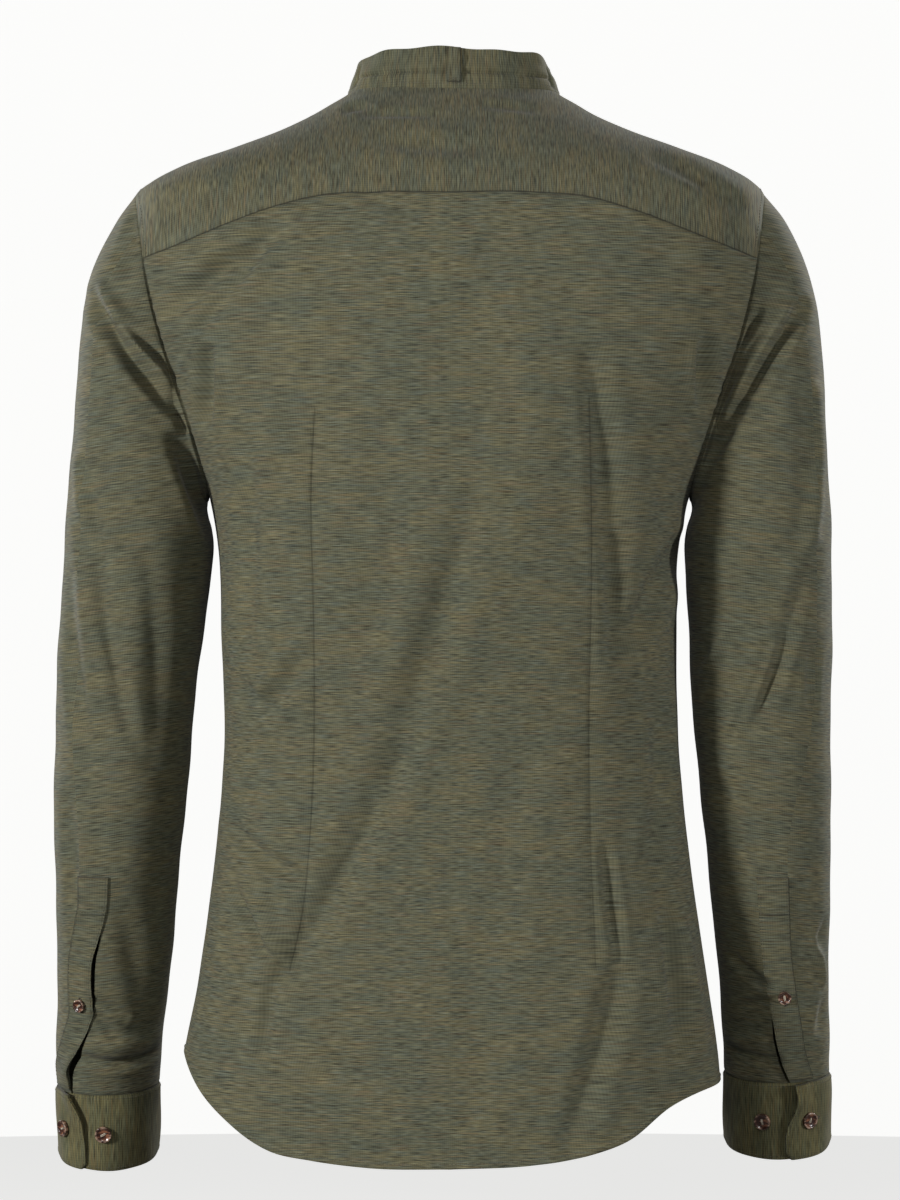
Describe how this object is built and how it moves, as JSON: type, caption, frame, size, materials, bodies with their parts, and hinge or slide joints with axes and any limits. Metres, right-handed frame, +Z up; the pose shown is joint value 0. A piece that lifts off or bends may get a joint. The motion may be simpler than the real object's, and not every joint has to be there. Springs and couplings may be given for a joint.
{
  "type": "band collar shirt",
  "caption": "Long-sleeved button-front shirt with a band collar, back yoke, hanger loop, shirttail hem and buttoned cuffs, hollow and filled out as when worn.",
  "frame": {"origin": "on the shoulders where the wearer carries the shirt, midway between the two sides of the neck seam", "axes": "+Z up along the body, the longest way; the front faces -Y and the back +Y, the shortest way; the wearer's left is +X"},
  "size_m": [0.5425, 0.274, 0.7726],
  "materials": {
    "cloth": "matte woven, mottled olive",
    "cloth_dark": "matte woven, mottled olive, streaks the other way",
    "button": "polished horn-like brown"
  },
  "bodies": {
    "root": {"back": "cloth", "front_left": "cloth", "front_right": "cloth", "front_placket": "cloth", "sleeve_left": "cloth", "sleeve_right": "cloth", "sleeve_placket_left": "cloth", "sleeve_placket_right": "cloth", "yoke": "cloth_dark", "collar_band": "cloth_dark", "hanger_loop": "cloth_dark", "cuff_left": "cloth_dark", "cuff_right": "cloth_dark", "front_button_1": "button", "front_button_2": "button", "front_button_3": "button", "front_button_4": "button", "front_button_5": "button", "front_button_6": "button", "collar_button": "button", "placket_button_left": "button", "placket_button_right": "button", "cuff_button_left_1": "button", "cuff_button_left_2": "button", "cuff_button_right_1": "button", "cuff_button_right_2": "button"}
  },
  "joints": []
}
